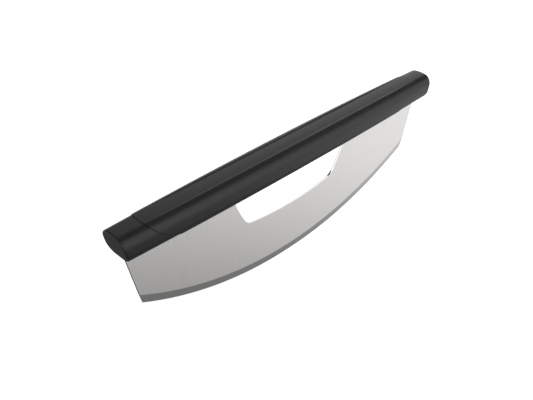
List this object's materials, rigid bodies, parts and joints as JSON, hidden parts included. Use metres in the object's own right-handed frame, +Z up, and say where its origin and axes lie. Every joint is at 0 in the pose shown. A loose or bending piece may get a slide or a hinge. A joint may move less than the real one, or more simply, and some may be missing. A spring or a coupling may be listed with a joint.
{
  "type": "rocking pizza knife",
  "caption": "Rocking pizza knife: curved ground steel blade with a finger window under a long barrel-shaped soft-grip handle.",
  "frame": {"origin": "the lowest point of the cutting edge, midway along the blade and through its thickness", "axes": "+X along the handle, +Y through the blade's thickness towards the screw side, +Z up from the cutting edge to the handle"},
  "size_m": [0.3546, 0.0316, 0.1155],
  "materials": {
    "blade_steel": "brushed across the handle's length, ground bevel",
    "core_plastic": "moulded, hidden",
    "insert_brass": "turned, hidden",
    "screw_steel": "zinc plated, hidden",
    "grip_rubber": "satin soft-touch, near black",
    "cap_plastic": "satin moulded, near black"
  },
  "bodies": {
    "root": {"blade": "blade_steel", "core_front": "core_plastic", "core_back": "core_plastic", "threaded_inserts": "insert_brass", "core_screws": "screw_steel", "soft_grip": "grip_rubber", "end_cap_left": "cap_plastic", "end_cap_right": "cap_plastic"}
  },
  "joints": []
}
